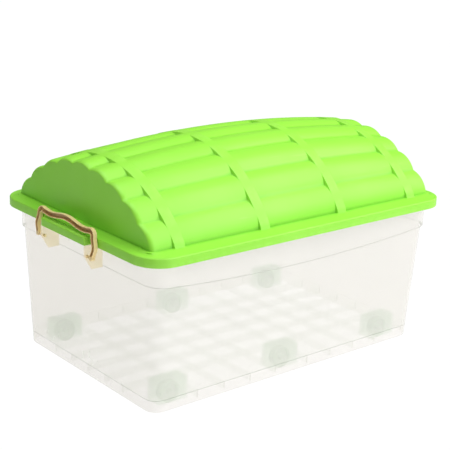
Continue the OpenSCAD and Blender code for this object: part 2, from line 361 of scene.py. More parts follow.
@dataclass(frozen=True)
class MouldedPlastic:
    """An injection-moulded plastic, opaque or milky.

    Args:
        name: Name of the material.
        colour: Usual colour.
        deep: Colour where the melt ran thick.
        worn: Colour of rubbed edges and scuffs.
        shaded: Colour painted as shade into inner corners, and into a milky wall's glow where it turns away.
        smooth: Roughness of the glossiest places.
        dull: Roughness of the dullest places.
        grain_height: Height of the mould's grain, in metres.
        opacity: Opacity of one face of a wall.
        edge_opacity: Added opacity in inner corners and where the wall turns away.
        glow: Strength of a painted glow, an emission that stands in for the light that a milky wall scatters
            from inside.
        scattered: Colour of that light.
        scuff: Density of the scuffs.
        specular: Specular level.
    """

    name: str
    colour: Colour
    deep: Colour
    worn: Colour
    shaded: Colour
    smooth: float
    dull: float
    grain_height: float
    opacity: float = 1.0
    edge_opacity: float = 0.0
    glow: float = 0.0
    scattered: Colour = (1.0, 1.0, 1.0)
    scuff: float = 0.4
    specular: float = 0.5

    def build(self, effects: Effects) -> bpy.types.Material:
        """Builds the material.

        Args:
            effects: The shared effects.

        Returns:
            The material.
        """
        material, wiring, shader = start_material(self.name)
        link = material.node_tree.links.new
        wear = effects.wear.use(wiring, Amount=0.8).outputs
        clouds = effects.clouds.use(wiring, Scale=6.0, Stretch=0.6).outputs
        scuffs = effects.scuffs.use(wiring, Density=self.scuff).outputs["Mask"]
        grain = effects.grain.use(wiring, Scale=800.0).outputs["Height"]
        body = wiring.blend(clouds["Cloud"], self.colour, self.deep)
        # Painted shade: inner corners darken to the shaded colour.
        shaded = wiring.blend(wear["Corner"], body, self.shaded)
        rubbed = wiring.sum_up("MAXIMUM", wear["Wear"], scuffs)
        link(wiring.blend(rubbed, shaded, self.worn), shader["Base Color"])
        rubbed_dull, scratch_depth, ripple_height = 0.18, -1.5, 4.0
        gloss = wiring.spread(clouds["Cloud"], UNIT, (self.smooth, self.dull))
        dulled = wiring.sum_up("ADD", gloss, wiring.sum_up("MULTIPLY", rubbed, rubbed_dull))
        link(dulled, shader["Roughness"])
        scratched = wiring.sum_up("ADD", grain, wiring.sum_up("MULTIPLY", scuffs, scratch_depth))
        ripple = wiring.sum_up("MULTIPLY", clouds["Ripple"], ripple_height)
        height = wiring.sum_up("ADD", scratched, ripple)
        relief = {"Strength": 1.0, "Distance": self.grain_height, "Height": height}
        link(wiring.add("ShaderNodeBump", relief).outputs[0], shader["Normal"])
        shader["Specular IOR Level"].default_value = self.specular
        if self.opacity < 1.0:
            facing = wiring.add("ShaderNodeLayerWeight", {"Blend": 0.5}).outputs["Facing"]
            grazing = wiring.spread(facing, (0.72, 1.0), UNIT)
            # Inner corners and places where the wall turns away from view: more opaque, and painted shade in
            # the glow.
            thick = wiring.sum_up("MAXIMUM", wear["Corner"], grazing)
            # Painted shade: the glow turns to the shaded colour there, drawing dark outlines.
            link(wiring.blend(thick, self.scattered, self.shaded), shader["Emission Color"])
            # Painted glow: the wall emits light, standing in for light scattered inside the plastic.
            shader["Emission Strength"].default_value = self.glow
            full = min(1.0, self.opacity + self.edge_opacity)
            link(wiring.spread(thick, UNIT, (self.opacity, full)), shader["Alpha"])
        return material


@dataclass(frozen=True)
class DrawnSteel:
    """Drawn wire with fine lines around it.

    Args:
        name: Name of the material.
        colour: Usual colour.
        dull_colour: Colour of the dull film on it.
        smooth: Roughness of the glossiest places.
        dull: Roughness of the dullest places.
        grain_height: Height of the drawing lines, in metres.
    """

    name: str
    colour: Colour
    dull_colour: Colour
    smooth: float = 0.25
    dull: float = 0.5
    grain_height: float = 0.00003

    def build(self, effects: Effects) -> bpy.types.Material:
        """Builds the material.

        Args:
            effects: The shared effects.

        Returns:
            The material.
        """
        material, wiring, shader = start_material(self.name)
        link = material.node_tree.links.new
        film = effects.clouds.use(wiring, Scale=90.0, Stretch=1.0).outputs["Cloud"]
        lines = effects.grain.use(wiring, Scale=1500.0).outputs["Height"]
        link(wiring.blend(film, self.colour, self.dull_colour), shader["Base Color"])
        link(wiring.spread(film, UNIT, (self.smooth, self.dull)), shader["Roughness"])
        relief = {"Strength": 0.6, "Distance": self.grain_height, "Height": lines}
        link(wiring.add("ShaderNodeBump", relief).outputs[0], shader["Normal"])
        shader["Metallic"].default_value = 1.0
        return material


# The fourth colour of each moulded finish, shaded, is painted shade for inner corners.
LIME = MouldedPlastic(
    "lime_moulding", tint(148, 226, 62), tint(142, 222, 54), tint(178, 240, 108), tint(84, 174, 8),
    smooth=0.40, dull=0.50, grain_height=0.00002,
)
CREAM = MouldedPlastic(
    "cream_moulding", tint(250, 224, 162), tint(246, 214, 148), tint(253, 236, 194), tint(206, 164, 100),
    smooth=0.30, dull=0.42, grain_height=0.00003,
)
# Painted shade: a darker copy of the cream for the recessed channel of each handle.
SHADED_CHANNEL = MouldedPlastic(
    "cream_moulding_in_channel",
    tint(224, 192, 134), tint(214, 182, 124), tint(236, 210, 160), tint(186, 150, 96),
    smooth=0.36, dull=0.5, grain_height=0.00003,
)
# The milky finishes glow: painted light that stands in for light scattered inside the plastic.
CLEAR = MouldedPlastic(
    "milky_moulding", tint(140, 140, 138), tint(134, 134, 132), tint(176, 176, 174), tint(84, 92, 76),
    smooth=0.26, dull=0.36, grain_height=0.00001, opacity=0.48, edge_opacity=0.30,
    glow=0.61, scattered=tint(255, 250, 244), scuff=0.1,
)
# Painted shade: a darker, dimmer copy of the milky finish for dark lines at the collar's step, the floor
# line and the ribs' ends.
SHADE_LINE_CLEAR = replace(
    CLEAR, name="milky_moulding_at_steps", colour=tint(96, 102, 90), deep=tint(90, 96, 84),
    worn=tint(140, 144, 134), shaded=tint(70, 78, 64), opacity=0.70, edge_opacity=0.20,
    glow=0.30, scattered=tint(214, 222, 204),
)
# The floor, wells and ribs glow too: painted light where the lamps barely reach through the walls.
BASE_CLEAR = replace(
    CLEAR, name="milky_moulding_of_base", colour=tint(136, 142, 130), deep=tint(130, 136, 124),
    worn=tint(170, 174, 166), shaded=tint(90, 104, 84), opacity=0.10, edge_opacity=0.20,
    glow=0.52, scattered=tint(240, 250, 234),
)
RIB_CLEAR = replace(
    CLEAR, name="milky_moulding_of_ribs", colour=tint(110, 126, 100), deep=tint(104, 120, 94),
    worn=tint(150, 160, 142), shaded=tint(80, 100, 72), opacity=0.15, edge_opacity=0.20,
    glow=0.38, scattered=tint(212, 234, 200),
)
LUG_CLEAR = replace(
    CLEAR, name="milky_lug_moulding", colour=tint(180, 168, 138), deep=tint(174, 162, 132),
    worn=tint(206, 196, 172), shaded=tint(150, 136, 104), grain_height=0.00002, opacity=0.60,
    edge_opacity=0.25, glow=0.45, scattered=tint(246, 234, 204), scuff=0.2,
)
# The housing glows too: painted light.
HOUSING = MouldedPlastic(
    "green_housing_moulding", tint(84, 172, 92), tint(78, 162, 86), tint(140, 200, 136), tint(60, 126, 66),
    smooth=0.36, dull=0.5, grain_height=0.00003, opacity=0.26, edge_opacity=0.25,
    glow=0.30, scattered=tint(140, 216, 150),
)
WHEEL = MouldedPlastic(
    "green_wheel_moulding", tint(66, 172, 84), tint(58, 160, 76), tint(140, 176, 142), tint(44, 110, 54),
    smooth=0.42, dull=0.6, grain_height=0.00005, scuff=0.9,
)
STEEL = DrawnSteel("drawn_steel", tint(200, 202, 206), tint(170, 172, 176))
FINISHES = (LIME, CREAM, SHADED_CHANNEL, CLEAR, SHADE_LINE_CLEAR, BASE_CLEAR, RIB_CLEAR, LUG_CLEAR, HOUSING, WHEEL, STEEL)


class Palette:
    """All materials, each built once, by finish name."""

    def __init__(self) -> None:
        """Builds every finish."""
        effects = Effects.build()
        self.materials = {finish.name: finish.build(effects) for finish in FINISHES}

    def of(self, finish: MouldedPlastic | DrawnSteel) -> bpy.types.Material:
        """Returns the material of a finish."""
        return self.materials[finish.name]


# ---- Outlines and skins ----


def points_of(made: Sequence[object]) -> list[Point]:
    """Returns the points among the items that a mesh operation made."""
    return [item for item in made if isinstance(item, Point)]


def faces_of(made: Sequence[object]) -> list[Face]:
    """Returns the faces among the items that a mesh operation made."""
    return [item for item in made if isinstance(item, Face)]


def edges_among(points: set[Point]) -> list[Edge]:
    """Returns the edges that join two of the points."""
    around = {edge for point in points for edge in point.link_edges}
    return [edge for edge in around if edge.verts[0] in points and edge.verts[1] in points]


def open_edges(mesh: Mesh) -> list[Edge]:
    """Returns the edges around a mesh's openings."""
    return [edge for edge in mesh.edges if edge.is_boundary]


def draw_grid(mesh: Mesh, columns: int, rows: int, place: Callable[[int, int], Vector]) -> None:
    """Draws a sheet of four-sided cells.

    Args:
        mesh: Mesh that it goes in.
        columns: Cells from side to side.
        rows: Cells from end to end.
        place: Where the point at a column and a row lies.
    """
    points = bmesh.ops.create_grid(mesh, x_segments=columns, y_segments=rows, size=1.0)["verts"]
    for point in points:
        column = round((point.co.x + 1) / 2 * columns)
        row = round((point.co.y + 1) / 2 * rows)
        point.co = place(column, row)


def thicken(mesh: Mesh, faces: Sequence[Face], by: Sequence[float]) -> None:
    """Draws flat faces out into a solid.

    Args:
        mesh: Mesh that holds them.
        faces: The faces, which stay as the solid's other side.
        by: How far and which way.
    """
    made = bmesh.ops.extrude_face_region(mesh, geom=list(faces), use_keep_orig=True)["geom"]
    bmesh.ops.translate(mesh, verts=points_of(made), vec=by)


def half_turn(mesh: Mesh) -> None:
    """Turns a mesh round to the left end of the trunk."""
    bmesh.ops.rotate(mesh, verts=mesh.verts, cent=(0, 0, 0), matrix=Matrix.Rotation(math.pi, 3, "Z"))


@dataclass(frozen=True)
class Steps:
    """How many steps a ring takes along each stretch of a rectangle with round corners.

    Args:
        corner: Steps along each corner's arc.
        long: Steps along each side that lies along X.
        short: Steps along each side that lies along Y.
    """

    corner: int
    long: int
    short: int

    def marks(self) -> list[Mark]:
        """Lists the ring's points.

        Returns:
            Each point as (corner, share of its arc, share of the side after it).
        """
        found = []
        for corner in range(4):
            found += [(corner, step / self.corner, 0.0) for step in range(self.corner + 1)]
            steps = self.long if corner % 2 == 0 else self.short
            found += [(corner, 1.0, step / steps) for step in range(1, steps)]
        return found


@dataclass(frozen=True)
class RoundRect:
    """Rectangle with round corners around a middle point.

    Args:
        half_l: Half its length along X.
        half_w: Half its width along Y.
        radius: Radius of its corners.
        x: Place of its middle along X.
        y: Place of its middle along Y.
    """

    half_l: float
    half_w: float
    radius: float
    x: float = 0.0
    y: float = 0.0

    def inset(self, by: float) -> "RoundRect":
        """Returns the rectangle drawn in on every side, with corners that stay a little round."""
        tightest = 0.0002
        return RoundRect(self.half_l - by, self.half_w - by, max(self.radius - by, tightest), self.x, self.y)

    def arc_point(self, corner: int, turn: float) -> Vector:
        """Returns a point of one corner's arc.

        Args:
            corner: Corner from 0 to 3, anticlockwise from +X +Y.
            turn: Share of the arc.

        Returns:
            The point, at height 0.
        """
        along = -1 if corner in (1, 2) else 1
        across = -1 if corner in (2, 3) else 1
        angle = math.radians(90 * (corner + turn))
        return Vector((
            self.x + along * (self.half_l - self.radius) + self.radius * math.cos(angle),
            self.y + across * (self.half_w - self.radius) + self.radius * math.sin(angle),
            0.0,
        ))

    def point(self, mark: Mark) -> Vector:
        """Returns the outline's point for one mark, at height 0.

        Args:
            mark: Corner, share of its arc and share of the side after it.

        Returns:
            The point.
        """
        corner, turn, share = mark
        start = self.arc_point(corner, turn)
        return start.lerp(self.arc_point((corner + 1) % 4, 0.0), share) if share else start

    def at(self, z: float) -> Place:
        """Returns the ring at a height."""
        return lambda mark: self.point(mark) + Vector((0.0, 0.0, z))

    def nearest(self, x: float, y: float) -> Vector:
        """Returns the outline's point nearest to a place, at height 0.

        Args:
            x: Place along the trunk, for an outline around the origin.
            y: Place across it.

        Returns:
            The point.
        """
        core_x = max(min(x, self.half_l - self.radius), self.radius - self.half_l)
        core_y = max(min(y, self.half_w - self.radius), self.radius - self.half_w)
        away = Vector((x - core_x, y - core_y, 0.0)).normalized()
        return Vector((core_x, core_y, 0.0)) + self.radius * away


def quarter_arc(steps: int) -> list[tuple[float, float]]:
    """Returns (1 - sin, 1 - cos) shares over a quarter turn.

    Args:
        steps: Steps along the arc.

    Returns:
        The pairs, from the arc's start to its end.
    """
    turns = [math.pi / 2 * step / steps for step in range(steps + 1)]
    return [(1 - math.sin(turn), 1 - math.cos(turn)) for turn in turns]


class Skin:
    """A skin drawn ring by ring from one circle."""

    def __init__(self, mesh: Mesh, marks: Sequence[Mark]) -> None:
        """Starts with no ring.

        Args:
            mesh: Mesh that the skin goes in.
            marks: Marks of each ring's points.
        """
        self.mesh = mesh
        self.marks = marks
        self.column = mesh.verts.layers.int.get("column") or mesh.verts.layers.int.new("column")
        self.edges: list[Edge] = []
        self.first: Place | None = None
        self.finish = MAIN

    def ring(self, place: Place) -> "Skin":
        """Draws the next ring.

        Args:
            place: Where each mark's point lies.

        Returns:
            The skin itself.
        """
        if self.first is None:
            self.first = place
            sides = len(self.marks)
            made = bmesh.ops.create_circle(self.mesh, cap_ends=False, radius=1.0, segments=sides)["verts"]
            for number, point in enumerate(made):
                point[self.column] = number
            fresh = set(made)
        else:
            made = bmesh.ops.extrude_edge_only(self.mesh, edges=self.edges)["geom"]
            fresh = set(points_of(made))
            for face in faces_of(made):
                face.material_index = self.finish
        for point in fresh:
            point.co = place(self.marks[point[self.column]])
        self.edges = edges_among(fresh)
        return self

    def wear(self, finish: int) -> "Skin":
        """Chooses the finish of the faces drawn from here on, by its number in the piece's dress."""
        self.finish = finish
        return self

    def rings(self, places: Sequence[Place]) -> "Skin":
        """Draws several rings.

        Args:
            places: Where each ring's points lie, ring by ring.

        Returns:
            The skin itself.
        """
        for place in places:
            self.ring(place)
        return self

    def cap(self) -> "Skin":
        """Closes the last ring with a face."""
        bmesh.ops.edgeloop_fill(self.mesh, edges=self.edges)
        return self

    def close(self) -> None:
        """Joins the last ring to the first."""
        self.ring(self.first)
        bmesh.ops.remove_doubles(self.mesh, verts=self.mesh.verts, dist=WELD)


@dataclass(frozen=True)
class Dress:
    """What a finished piece is called, wears and rides on.

    Args:
        name: Name of the piece.
        finishes: Its finishes, the first one for most faces.
        body: Body that it rides on.
        slot: Material slot of the record; not used.
        stands_for: CAD nodes that it replaces.
        crease: Angle in degrees past which an edge stays sharp.
        wall: Thickness given to an open skin, inwards, or 0.
    """

    name: str
    finishes: tuple[MouldedPlastic | DrawnSteel, ...]
    body: str
    slot: Slot
    stands_for: tuple[str, ...] = ()
    crease: float = 38.0
    wall: float = 0.0


def finish_piece(mesh: Mesh, dress: Dress, palette: Palette, turned_right: bool = False) -> None:
    """Turns a mesh into a finished piece of the trunk.

    Args:
        mesh: The piece's mesh, which is freed.
        dress: What it is called, wears and rides on.
        palette: The materials.
        turned_right: Whether its faces already point outwards.
    """
    bmesh.ops.remove_doubles(mesh, verts=mesh.verts, dist=WELD)
    if not turned_right:
        bmesh.ops.recalc_face_normals(mesh, faces=mesh.faces)
    for face in mesh.faces:
        face.smooth = True
    for edge in mesh.edges:
        edge.smooth = not (edge.is_manifold and edge.calc_face_angle() > math.radians(dress.crease))
    data = bpy.data.meshes.new(dress.name)
    mesh.to_mesh(data)
    mesh.free()
    piece = bpy.data.objects.new(dress.name, data)
    bpy.context.scene.collection.objects.link(piece)
    for finish in dress.finishes:
        data.materials.append(palette.of(finish))
    if dress.wall:
        shell = piece.modifiers.new("wall", "SOLIDIFY")
        shell.thickness = dress.wall
        shell.offset = -1.0
        shell.use_even_offset = True
    piece.modifiers.new("soft_shading", "WEIGHTED_NORMAL").keep_sharp = True
    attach(piece, dress.body)
    if dress.stands_for:
        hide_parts(*dress.stands_for)
    LOG.info("%s: %d faces, rides on %s", dress.name, len(data.polygons), dress.body)


def make_box(mesh: Mesh, low: Vector, high: Vector) -> None:
    """Adds a box between two corners.

    Args:
        mesh: Mesh that it goes in.
        low: Its lowest corner.
        high: Its highest corner.
    """
    place = Matrix.Translation((low + high) / 2) @ Matrix.Diagonal((*(high - low), 1.0))
    bmesh.ops.create_cube(mesh, size=1.0, matrix=place)


def round_edges(mesh: Mesh, edges: Sequence[Edge], width: float, segments: int = 2) -> None:
    """Rounds edges.

    Args:
        mesh: Mesh that holds them.
        edges: The edges.
        width: Width of the rounding.
        segments: Steps across it.
    """
    bmesh.ops.bevel(
        mesh, geom=list(edges), offset=width, offset_type="OFFSET", segments=segments, profile=0.5,
        affect="EDGES", material=-1, clamp_overlap=True,
    )


# ---- Tub ----


@dataclass
class Tub:
    """The clear tub, one moulding: walls with collar and flange, floor, ribs, wheel wells and lugs.

    Args:
        palette: The materials.
    """

    palette: Palette
    foot_z: float = 0.003
    height: float = 0.2827
    wall: float = 0.0025
    taper: float = 0.015
    collar_half_l: float = 0.328
    collar_half_w: float = 0.214
    collar_r: float = 0.030
    collar_h: float = 0.054
    collar_sag: float = 0.016
    flange_half_l: float = 0.3447
    flange_half_w: float = 0.2307
    flange_r: float = 0.0467
    flange_t: float = 0.003
    flange_drop: float = 0.009
    floor_h: float = 0.0225
    rib_h: float = 0.014
    rib_t: float = 0.002
    rib_first_x: float = 0.039
    ribs_across: int = 4
    ribs_along: int = 2
    well_l: float = 0.061
    well_w: float = 0.033
    well_wall: float = 0.0025
    well_top: float = 0.046
    well_foot: float = 0.005
    lug_y: float = 0.068
    lug_t: float = 0.0035
    lug_drop: float = 0.024
    lug_edge: float = 0.0054
    lug_toe: float = 0.009
    lug_root: float = 0.001
    lug_shelf_z: float = 0.2716
    lug_round: float = 0.0004
    bore_r: float = 0.00285
    steps: Steps = Steps(corner=12, long=32, short=18)

    def __post_init__(self) -> None:
        """Works out the levels, and reads the pivots' and wheels' places from the frame."""
        self.top = self.foot_z + self.height
        self.floor_z = self.foot_z + self.floor_h
        self.collar_z = self.top - self.collar_h
        pivot = next(joint for joint in frame["joints"] if joint["name"] == "right_handle_swing")["pos_m"]
        self.pivot_x, self.pivot_z = pivot[0], pivot[2]
        wheels = [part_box(name) for name in frame["nodes"] if name.endswith("_wheel")]
        middles = sorted({((low.x + high.x) / 2, (low.y + high.y) / 2) for low, high in wheels})
        self.wells = [RoundRect(self.well_l / 2, self.well_w / 2, 0.003, x, y) for x, y in middles]
        self.wheel_x = max(x for x, _ in middles)
        self.well_y = max(y for _, y in middles)

    def outline(self, z: float, inset: float = 0.0) -> RoundRect:
        """Returns the wall's outline at a height.

        Args:
            z: Height.
            inset: Distance inside the outer face.

        Returns:
            The outline.
        """
        below = 1 - (z - self.foot_z) / self.height
        step = 0.0005
        drawn_in = self.taper * below + step + inset
        radius = self.collar_r - self.taper / 2 * below - inset
        return RoundRect(self.collar_half_l - drawn_in, self.collar_half_w - drawn_in, radius)

    def wall_ring(self, z: float, inset: float = 0.0) -> Place:
        """Returns a level ring of the wall."""
        return self.outline(z, inset).at(z)

    def sagging_ring(self, outset: float, lift: float) -> Place:
        """Returns a ring along the collar's lower edge, which sags in a shallow arc on the long sides.

        Args:
            outset: Share of the way from the wall out to the collar.
            lift: Height above the edge.

        Returns:
            The ring.
        """
        collar = RoundRect(self.collar_half_l, self.collar_half_w, self.collar_r)
        sag_r = (self.collar_half_l**2 + self.collar_sag**2) / (2 * self.collar_sag)

        def place(mark: Mark) -> Vector:
            """Returns one point of the ring.

            Args:
                mark: The point's mark.

            Returns:
                The point.
            """
            outer = collar.point(mark)
            away = min(abs(outer.x), self.collar_half_l)
            drop = math.sqrt(sag_r**2 - away**2) - (sag_r - self.collar_sag)
            z = self.collar_z - drop + lift
            inner = self.outline(z).point(mark)
            return Vector((*inner.lerp(outer, outset).xy, z))

        return place

    def build_walls(self) -> None:
        """Builds the walls, collar and flange as one closed skin."""
        mesh = bmesh.new()
        skin = Skin(mesh, self.steps.marks())
        soft = 0.0008
        collar = RoundRect(self.collar_half_l, self.collar_half_w, self.collar_r)
        flange = RoundRect(self.flange_half_l, self.flange_half_w, self.flange_r)
        under = self.top - self.flange_t
        hem = self.top - self.flange_drop
        skin.ring(self.wall_ring(self.foot_z, soft))
        skin.rings([self.wall_ring(self.foot_z + soft), self.wall_ring(self.foot_z + 3 * soft)])
        skin.ring(self.wall_ring(self.floor_z - soft))
        # Painted shade: a dark strip along the floor line.
        skin.wear(SECOND).ring(self.wall_ring(self.floor_z))
        skin.wear(MAIN).ring(self.wall_ring((self.floor_z + self.collar_z) / 2))
        skin.rings([self.sagging_ring(0.0, -4 * soft), self.sagging_ring(0.0, -2 * soft)])
        near_wall, near_lip, at_lip = 0.15, 0.75, 0.94
        # Painted shade: the underside of the collar's step.
        skin.wear(SECOND).rings([self.sagging_ring(0.0, -soft), self.sagging_ring(near_wall, -soft / 4)])
        skin.rings([self.sagging_ring(near_lip, 0.0), self.sagging_ring(at_lip, soft / 3)])
        skin.wear(MAIN).rings([self.sagging_ring(1.0, 2 * soft), self.sagging_ring(1.0, 4 * soft)])
        skin.rings([collar.at(under - 2 * soft), collar.inset(-soft).at(under - soft / 2)])
        skin.ring(collar.inset(-2 * soft).at(under))
        skin.rings([flange.inset(self.wall).at(under), flange.inset(self.wall).at(hem)])
        skin.rings([flange.inset(soft / 2).at(hem), flange.at(hem + soft / 2)])
        skin.rings([flange.inset(soft * a).at(self.top - soft * b) for a, b in reversed(quarter_arc(3))])
        skin.ring(self.wall_ring(self.top, self.wall - soft))
        skin.ring(self.wall_ring(self.top - soft, self.wall))
        skin.ring(self.wall_ring((self.floor_z + self.top) / 2, self.wall))
        skin.ring(self.wall_ring(self.foot_z + soft / 2, self.wall))
        skin.ring(self.wall_ring(self.foot_z, self.wall - soft / 2))
        skin.close()
        dress = Dress("tub_walls", (CLEAR, SHADE_LINE_CLEAR), Body.TUB.value, Slot.CLEAR, ("tub",))
        finish_piece(mesh, dress, self.palette)

    def build_floor(self) -> None:
        """Builds the floor, with a hole over each wheel well."""
        mesh = bmesh.new()
        under = self.floor_z - self.wall
        outer = self.outline(self.floor_z, self.wall)
        skin = Skin(mesh, self.steps.marks()).ring(outer.at(under))
        edges = list(skin.edges)
        for well in self.wells:
            hole = well.inset(-self.well_wall / 2)
            edges += Skin(mesh, Steps(corner=4, long=2, short=2).marks()).ring(hole.at(under)).edges
        filled = bmesh.ops.triangle_fill(mesh, edges=edges, use_beauty=True)["geom"]
        thicken(mesh, faces_of(filled), (0, 0, self.wall))
        finish_piece(mesh, Dress("tub_floor", (BASE_CLEAR,), Body.TUB.value, Slot.CLEAR), self.palette)

    def build_ribs(self) -> None:
        """Builds the lattice of stiffening ribs under the floor."""
        reach = self.wheel_x - 2 * self.rib_first_x
        last_bay = 0.75
        pitch = (self.well_y - self.well_w / 2) / (self.ribs_along + last_bay)
        half = [self.rib_first_x + reach * i / (self.ribs_across - 1) for i in range(self.ribs_across)]
        middles_x = [-x for x in reversed(half)] + half
        middles_y = [pitch * i for i in range(-self.ribs_along, self.ribs_along + 1)]
        low = self.floor_z - self.wall - self.rib_h
        edge = self.outline(low, self.wall)
        lines_x = self.rib_faces(middles_x, edge.half_l)
        lines_y = self.rib_faces(middles_y, edge.half_w)
        mesh = bmesh.new()
        top = low + self.rib_h
        cells = len(lines_x) - 1, len(lines_y) - 1
        draw_grid(mesh, *cells, lambda column, row: Vector((lines_x[column], lines_y[row], top)))
        bays = [face for face in mesh.faces if self.is_bay(face, lines_x, lines_y)]
        bmesh.ops.delete(mesh, geom=bays, context="FACES")
        thicken(mesh, mesh.faces, (0, 0, -self.rib_h))
        near = 0.0001
        # Painted shade: the ribs' ends against the wall wear the dark finish.
        for face in mesh.faces:
            middle = face.calc_center_median()
            at_wall = abs(middle.x) > edge.half_l - near or abs(middle.y) > edge.half_w - near
            face.material_index = SECOND if at_wall else MAIN
        dress = Dress("tub_ribs", (RIB_CLEAR, SHADE_LINE_CLEAR), Body.TUB.value, Slot.CLEAR)
        finish_piece(mesh, dress, self.palette)

    def rib_faces(self, middles: Sequence[float], reach: float) -> list[float]:
        """Returns where the ribs' two sides lie, from one wall to the other."""
        return [-reach, *(middle + side * self.rib_t / 2 for middle in middles for side in (-1, 1)), reach]

    @staticmethod
    def is_bay(face: Face, lines_x: Sequence[float], lines_y: Sequence[float]) -> bool:
        """Tells whether a cell of the grid lies between ribs, and not on one.

        Args:
            face: The cell.
            lines_x: Places of the ribs' sides along X.
            lines_y: Places of the ribs' sides along Y.

        Returns:
            True between ribs.
        """
        middle = face.calc_center_median()
        column = sum(line < middle.x for line in lines_x) - 1
        row = sum(line < middle.y for line in lines_y) - 1
        return column % 2 == 0 and row % 2 == 0

    def build_wells(self) -> None:
        """Builds the six wheel wells, open below."""
        mesh = bmesh.new()
        soft = 0.0015
        marks = Steps(corner=5, long=3, short=3).marks()
        crown = self.well_top + self.well_wall
        for well in self.wells:
            outer = well.inset(-self.well_wall)
            skin = Skin(mesh, marks)
            skin.rings([well.inset(soft).at(self.well_top), well.at(self.well_top - soft)])
            skin.rings([well.at(self.well_foot), outer.at(self.well_foot), outer.at(crown - soft)])
            skin.rings([outer.inset(soft / 3).at(crown - soft / 3), outer.inset(soft).at(crown)])
        bmesh.ops.holes_fill(mesh, edges=open_edges(mesh), sides=0)
        dress = Dress("tub_wheel_wells", (BASE_CLEAR,), Body.TUB.value, Slot.CLEAR)
        finish_piece(mesh, dress, self.palette)

    def build_lugs(self, end: End) -> None:
        """Builds the two lugs that carry one handle, each with its bore.

        Args:
            end: Which end of the trunk.
        """
        mesh = bmesh.new()
        inner = self.collar_half_l - self.lug_root
        under = self.flange_half_l - self.wall / 2
        out = self.pivot_x + self.lug_edge
        low = self.pivot_z - self.lug_drop
        high = self.top - self.flange_t
        corners = [
            (inner, low), (self.pivot_x - self.lug_toe, low), (out, self.pivot_z), (out, self.lug_shelf_z),
            (under, self.lug_shelf_z), (under, high), (inner, high),
        ]
        sideways = Matrix.Rotation(math.pi / 2, 4, "X")
        for side in (-1, 1):
            y = side * self.lug_y - self.lug_t / 2
            outline = [mesh.verts.new((end.value * x, y, z)) for x, z in corners]
            edges = [mesh.edges.new((a, b)) for a, b in zip(outline, outline[1:] + outline[:1])]
            place = Matrix.Translation((end.value * self.pivot_x, y, self.pivot_z)) @ sideways
            bore = bmesh.ops.create_circle(mesh, radius=self.bore_r, segments=32, matrix=place)["verts"]
            edges += edges_among(set(bore))
            filled = bmesh.ops.triangle_fill(mesh, edges=edges, use_beauty=True)["geom"]
            thicken(mesh, faces_of(filled), (0, self.lug_t, 0))
        bmesh.ops.recalc_face_normals(mesh, faces=mesh.faces)
        hard = math.radians(60)
        hem = [edge for edge in mesh.edges if edge.is_manifold and edge.calc_face_angle() > hard]
        round_edges(mesh, hem, self.lug_round)
        name = f"tub_{end.name.lower()}_lugs"
        finish_piece(mesh, Dress(name, (LUG_CLEAR,), Body.TUB.value, Slot.CLEAR), self.palette)

    def build(self) -> None:
        """Builds the whole tub."""
        self.build_walls()
        self.build_floor()
        self.build_ribs()
        self.build_wells()
        for end in End:
            self.build_lugs(end)


# ---- Lid ----


